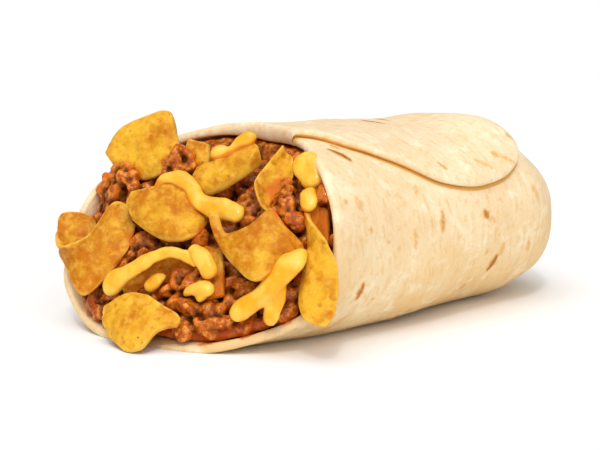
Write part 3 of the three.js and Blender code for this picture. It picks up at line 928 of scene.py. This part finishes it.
# ------------------------ chili
# Lumps of ground beef on the open face: right, up, out, radius.
LUMPS = [
    # top left
    (-35, 9, 1, 3), (-32, 12, 1, 3), (-28, 13, 1, 3), (-31, 8, 0, 2.5), (-24, 14, -1, 2.5),
    (-21, 24, -4, 3), (-18, 20, -3, 3), (-22, 18, -2, 2.5),
    # under the rim's top
    (-3, 15, -4, 3), (1, 17, -5, 3), (4, 15, -5, 2.5), (10, 11, -2, 2.5), (-1, 28, -8, 3),
    (1, 34, -12, 3), (8, 36, -12, 3), (4, 30, -9, 3), (9, 31, -9, 3), (14, 32, -9, 2.5),
    # right
    (19, 14, 2, 2.5), (23, 9, 4, 2.5), (22, 5, 2, 2.5), (26, 6, 2, 3), (28, 1, -1, 2.5),
    (7, 6, -2, 2.5),
    # middle
    (-18, -4, 0, 3), (-17, -8, 0, 2.5), (-22, -6, -2, 2.5), (-1, -1, 0, 3), (-5, 2, -1, 2.5),
    (3, -3, -2, 2.5), (10, -12, -2, 3), (15, -12, -3, 3), (12, -16, -1, 2.5),
    # bottom
    (-6, -16, 0, 2.5), (-2, -19, 1, 2.5), (3, -20, 1, 3), (8, -20, 0, 3), (7, -24, 1, 2.5),
    (12, -23, 0, 3), (3, -26, 1, 3), (-3, -25, 0, 3), (18, -22, -3, 3), (0, -29, -1, 2),
    (9, -28, -1, 2.5), (27, -11, -4, 3), (27, -16, -5, 3),
    # bottom left
    (-30, -20, -2, 3), (-33, -16, -2, 2), (-26, -20, -2, 2.5), (-27, -24, -2, 2.5),
    (-33, -18.5, -1.5, 2.2), (-31, -21.5, -1.5, 2.2), (-29, -24, -1.5, 2.2), (-26, -26, -1.5, 2.2),
    (-22.5, -28, -1.5, 2.2), (-19, -30, -1.5, 2.2),
]
# Crumbs of beef that lie on the chips: right, up, out, radius.
SPILLED = [
    (-32, 14, 4.5, 2), (-29, 14.5, 5, 2.1), (-25.5, 13, 5, 2), (-28, 11, 5, 2.6),
    (-32.5, 10.5, 4, 2.5), (-25.5, 10, 4, 2.2), (-30, 8, 4, 2.2), (-35, 8.5, 3, 2),
    (-14, 21.5, 4.5, 1.8), (-12.5, 20.5, 3.5, 2), (-14.5, 19, 5, 2.3), (-15.5, 17, 5, 2),
    (-11.5, 17, 4, 2), (-16, 14.5, 4.5, 2), (-13.5, 15, 4, 2.3), (-10, 17.5, 3, 1.8),
    (21, 12.5, 3, 2.3), (23.5, 9.5, 4.5, 2.4), (22, 7, 4, 2.2), (20, 15.5, 3, 1.8),
    (-3.2, -12.6, 2.2, 2), (-0.5, -11.3, 2, 2.1), (2.3, -11.6, 1.8, 2.2), (-1.5, -15.2, 2.6, 2.3),
    (2, -14.3, 2.4, 2.4), (5, -14, 2, 2.2), (-4.6, -17.2, 2.6, 2), (5.8, -11, 1.6, 1.8),
]
# Where the filling stands higher or lower: right, up, how much, how wide.
HEAPS = [
    (-30, 11, 3.5, 6), (-14, 18, 3, 4.5), (-23, 15, 2, 4), (19, 11, 3, 4), (33, 7, -5, 5),
    (-6, -11, -3, 5), (-31, -19, 1.5, 6), (-23, -27, 1.5, 6), (-10, -31, 1, 6),
]
CHILI_VOXEL = 0.43
CRUMBLES = 480  # lumps scattered over the open face
SMALLEST = 0.7  # radius of the smallest lump
FILLED = 0.975  # how far the filling reaches, as a share of the tortilla's length
FILLED_LOW = 0.99  # and at the low side, about LOW_TURN of the way round
LOW_TURN, LOW_WIDTH = 0.52, 0.13
SAUCE_TURNS = (0.33, 0.48)  # the part of the rim with sauce against the tortilla
SAUCE_DROPS = 50
SAUCE_RADIUS = 1.6
CORE_COLUMNS, CORE_ROWS = 72, 24
CORE_STEP_END = 0.98  # as STEP_END, for the filling
SLAB_COLUMNS, SLAB_ROWS = 90, 26
SLAB_TOP, SLAB_BOTTOM = 1, -5  # mm out of the open face


def core_wall(turns, along):
    """Points on the filling's side, just inside the tortilla."""
    gap = mix(1.5, 0.8, along)
    columns = []
    for turn in turns:
        reach = mix(FILLED, FILLED_LOW, falloff(turn - LOW_TURN, LOW_WIDTH)) * along
        x, angle, shrink = place_on_roll(partial(column_angle, turn), reach, END_X - END_WALL - 1, 0)
        inner = sheet_depths(turn, CORE_STEP_END, x, angle)[1]
        column = section_point(x, angle, inner + gap, shrink)
        column[:, 2] = np.maximum(column[:, 2], SHEET + gap)
        columns.append(column)
    return np.stack(columns)


def face_disc(turns, shares, offset):
    """Points of the filling's open face, column by column, offset mm out of it.

    The shares run from 0 in the middle to 1 at the side.
    """
    middle = face([0, 0, -4])
    ends = core_wall(turns, np.array([1.0]))[:, 0]
    share = np.asarray(shares)[None, :, None]
    points = mix(middle, ends[:, None], share)
    folds = np.sin(14 * np.pi * np.asarray(turns))[:, None, None]
    relief = 1 - share**3 + 2 * folds * share * (1 - share)
    across = (points - FACE_CENTRE) @ np.array([FACE_RIGHT, FACE_UP]).T
    for right, up, rise, reach in HEAPS:
        distance = norm(across - (right, up))[..., None]
        relief = relief + rise * falloff(distance, reach)
    return points + FACE_OUT * (relief + offset)


def chili_core():
    """The plain filling under the crumbs, all the way to the closed end."""
    turns = np.linspace(0, 1, CORE_COLUMNS, endpoint=False)
    wall = core_wall(turns, np.linspace(0.02, 1, CORE_ROWS))
    cap = face_disc(turns, [0.97, 0.8, 0.6, 0.4, 0.2, 0.02], -1.2)
    return closed_lathe(np.concatenate([wall, cap], axis=1))


def chili_slab():
    """A layer along the open face, which the lumps are fused to."""
    turns = np.linspace(0, 1, SLAB_COLUMNS, endpoint=False)
    shares = np.linspace(0.01, 0.985, SLAB_ROWS)
    top = face_disc(turns, shares, SLAB_TOP)
    bottom = face_disc(turns, shares[::-1], SLAB_BOTTOM)
    return closed_lathe(np.concatenate([top, bottom], axis=1))


def ball_template():
    """Directions evenly round a ball of radius 1, and its faces."""
    mesh = bpy.data.meshes.new("ball")
    shape = bmesh.new()
    bmesh.ops.create_icosphere(shape, subdivisions=3, radius=1)
    shape.to_mesh(mesh)
    shape.free()
    points = np.array([vertex.co[:] for vertex in mesh.vertices])
    return points, faces_of(mesh)


BALL = ball_template()


def crumble(centre, radius, rng):
    """A lump of ground beef: a ball pulled out of round and made uneven."""
    directions, faces = BALL
    spin = np.array(Matrix.Rotation(rng.uniform(0, 6.3), 3, Vector(rng.normal(size=3))))
    stretch = np.array([1.2, 1.0, 0.8]) * rng.uniform(0.8, 1.15, 3)
    lumpy = 1 + 0.5 * noise(directions, 1.1, rng.integers(1, 60))
    points = directions * stretch * lumpy[:, None] * radius
    return centre + points @ spin.T, faces


def sauce_line():
    """Points of the bead of sauce along the lower part of the rim."""
    turns = np.linspace(*SAUCE_TURNS, SAUCE_DROPS)
    rise = 0.8 + 0.5 * np.sin(60 * turns)
    return np.array([face_disc([turn], [0.975], out)[0, 0] for turn, out in zip(turns, rise)])


def near_sauce(where):
    """1 on the bead of sauce and 0 beside it."""
    nearest = np.min([norm(where - drop) for drop in sauce_line()], axis=0)
    return smoothstep(nearest, SAUCE_RADIUS + 0.8, SAUCE_RADIUS)


def chili_shells(rng):
    """Closed shells of the lumps, the bead of sauce and the crumbs that lie on the chips."""
    lumps = [(face(lump[:3]), lump[3]) for lump in LUMPS]
    turns = rng.uniform(0, 1, CRUMBLES)
    shares = np.sqrt(rng.uniform(0, 1, CRUMBLES)) * 0.985
    for turn, share in zip(turns, shares):
        place = face_disc([turn], [share], rng.uniform(-0.8, 1.2))[0, 0]
        lumps.append((place, rng.choice([1.3, 1.9, 2.6, 3.3], p=[0.3, 0.3, 0.25, 0.15])))
    shells = []
    for place, radius in lumps:
        room = min(CAD_CHIPS.find_nearest(place)[3], CAD_CHEESE.find_nearest(place)[3])
        wall = CAD_TORTILLA.find_nearest(place)[3]
        radius = min(radius, room + 0.3, wall + 0.5, place[2] - SHEET / 2)
        if radius > SMALLEST:
            shells.append(crumble(place, radius, rng))
    shells += [(place + BALL[0] * SAUCE_RADIUS, BALL[1]) for place in sauce_line()]
    return shells + [crumble(face(spilled[:3]), spilled[3], rng) for spilled in SPILLED]


def make_chili():
    shells = [chili_slab()] + chili_shells(np.random.default_rng(11))
    mesh = remeshed(shells, CHILI_VOXEL)
    where = smoothed(mesh, points_of(mesh), 4)
    put_points(mesh, where)
    sauce = near_sauce(where)
    lift = 0.35 * noise(where, 2.2, 1) + 0.28 * noise(where, 1.1, 2) + 0.12 * noise(where, 0.6, 3)
    lift = lift * (1 - 0.5 * sauce)
    put_points(mesh, where + normals_of(mesh) * lift[:, None])
    where = points_of(mesh)
    # height: how far each point stands above the smoothed surface; the material paints shade where it
    # is low
    broad = smoothed(mesh, where, 40)
    height = np.einsum("ij,ij->i", where - broad, normals_of(mesh))
    points, faces = join_shells([(where, faces_of(mesh)), chili_core()])
    whole = mesh_of("chili_crumbled", points, faces)
    core = np.zeros(len(points) - len(where))
    fields = {"height": height, "sauce": sauce}
    set_fields(whole, {name: np.append(values, core) for name, values in fields.items()})
    make_piece("chili_crumbled", "chili", whole, chili_look())


def chili_look():
    look = Look(
        "chili", Specular_IOR_Level=0.12, Specular_Tint=colour(255, 190, 120), Coat_Roughness=0.08,
        Coat_Tint=colour(255, 225, 190), Subsurface_Weight=0.06, Subsurface_Scale=0.002,
        Subsurface_Radius=(1, 0.35, 0.12),
    )
    patchy = look.noise(1.6, 3, 0.6)
    fine = look.noise(0.45, 3, 0.7)
    meat = look.painted(
        colour(212, 115, 24),
        (look.noise(6, 2), 0.38, 0.62, 1, (172, 78, 9)),
        (patchy, 0.45, 0.65, 0.85, (238, 162, 66)),
        (fine, 0.5, 0.68, 0.75, (112, 38, 0)),
    )
    # painted shade: near black red in the gaps between the lumps
    gap_shade = look.ramp(look.field("height"), -0.45, 0.42, 1, 0)
    sauced = look.blend(look.times(gap_shade, 0.98), meat, colour(58, 10, 0))
    bead = look.uneven(look.field("sauce"), patchy, 0.6)
    sauced = look.painted(sauced, (bead, 0.2, 0.9, 0.7, (158, 58, 4)))
    look.shade(Coat_Weight=look.ramp(look.field("height"), -0.4, 0.35, 0.02, 0.5))
    height = look.add(look.times(fine, 0.6), look.times(patchy, 0.4))
    return look.surface(sauced, fine, 0.28, 0.5, height, 0.22)


# ------------------------ stage
FOCAL = 1700 / 600 * 36  # mm, on a sensor 36 mm wide
AZIMUTH, ELEVATION = -44.3, 10.2
DISTANCE = 459
TARGET = np.array([0, -0.2, 24.8])
FLOOR = 40000  # mm from the middle to each side, to reach the horizon


def make_camera():
    turn, lift = math.radians(AZIMUTH), math.radians(ELEVATION)
    back = Vector((math.sin(turn) * math.cos(lift), -math.cos(turn) * math.cos(lift), math.sin(lift)))
    right = Vector((math.cos(turn), math.sin(turn), 0))
    up = back.cross(right)
    data = bpy.data.cameras.new("camera")
    data.lens = FOCAL
    data.sensor_width = 36
    data.clip_start = 0.01
    data.clip_end = 50
    camera = new_object("camera", data)
    camera.matrix_world = Matrix((right, up, back)).transposed().to_4x4()
    camera.location = Vector(TARGET * MM) + back * DISTANCE * MM
    bpy.context.scene.camera = camera


def sun_light(name, towards, power, width):
    """A far lamp that fills width degrees of the sky."""
    data = bpy.data.lights.new(name, "SUN")
    data.angle = math.radians(width)
    data.energy = power
    light = new_object(name, data)
    light.rotation_euler = (-Vector(towards)).to_track_quat("-Z", "Y").to_euler()


def make_stage():
    corners = [(x * FLOOR, y * FLOOR, 0) for x, y in ((-1, -1), (1, -1), (1, 1), (-1, 1))]
    floor = new_object("floor", mesh_of("floor", corners, [(0, 1, 2, 3)]))
    look = Look("floor", Roughness=0.7)
    pale = look.blend(look.noise(40, 2), colour(246, 246, 246), colour(250, 250, 250))
    floor.data.materials.append(look.shade(Base_Color=pale))
    world = bpy.data.worlds.new("studio")
    world.use_nodes = True
    background = world.node_tree.nodes["Background"].inputs
    background["Color"].default_value = (1, 1, 1, 1)
    background["Strength"].default_value = 0.3
    bpy.context.scene.world = world
    sun_light("key", (-0.2, 0.05, 0.95), 1.4, 55)
    sun_light("front_fill", (-0.35, -0.75, 0.65), 1.12, 60)
    sun_light("left_fill", (-0.8, -0.3, 0.55), 0.33, 55)
    sun_light("sparkle", (-0.45, -0.4, 0.81), 0.6, 6)
    bpy.context.scene.view_settings.view_transform = "Standard"


# ------------------------ assembly
make_camera()
make_stage()
make_tortilla()
make_chili()
baked = chip_look()
for seed, (chip_name, chip) in enumerate(CHIPS.items(), 1):
    make_chip(chip_name, *chip, seed, baked)
melted = cheese_look()
for cheese_name, cheese_strands in CHEESE.items():
    make_cheese(cheese_name, cheese_strands, melted)
